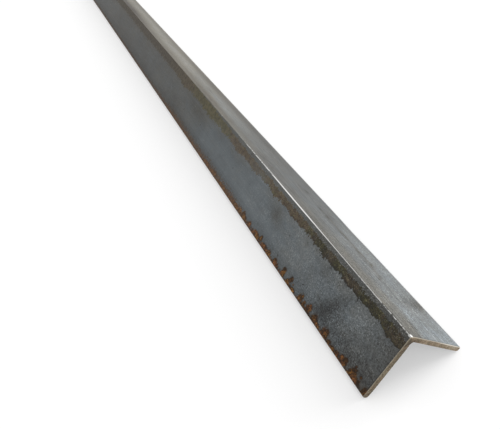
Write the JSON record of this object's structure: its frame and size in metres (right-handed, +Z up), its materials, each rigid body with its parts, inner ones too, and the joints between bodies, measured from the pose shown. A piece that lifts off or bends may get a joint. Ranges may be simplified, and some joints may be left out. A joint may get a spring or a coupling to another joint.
{
  "type": "steel angle section",
  "caption": "Length of hot-rolled equal-leg steel angle with rounded toes, a filleted inner corner and sawn ends, lying heel up.",
  "frame": {"origin": "on the floor plane, midway between the two toes and halfway along the bar", "axes": "+Y along the bar away from the near sawn end, +Z up through the heel, +X towards the right leg's toe"},
  "size_m": [0.0532, 0.9144, 0.0283],
  "materials": {
    "mill_steel": "dull blue-grey hot-rolled mill scale with brown staining and patches of surface rust"
  },
  "bodies": {
    "root": {"angle_section": "mill_steel"}
  },
  "joints": []
}
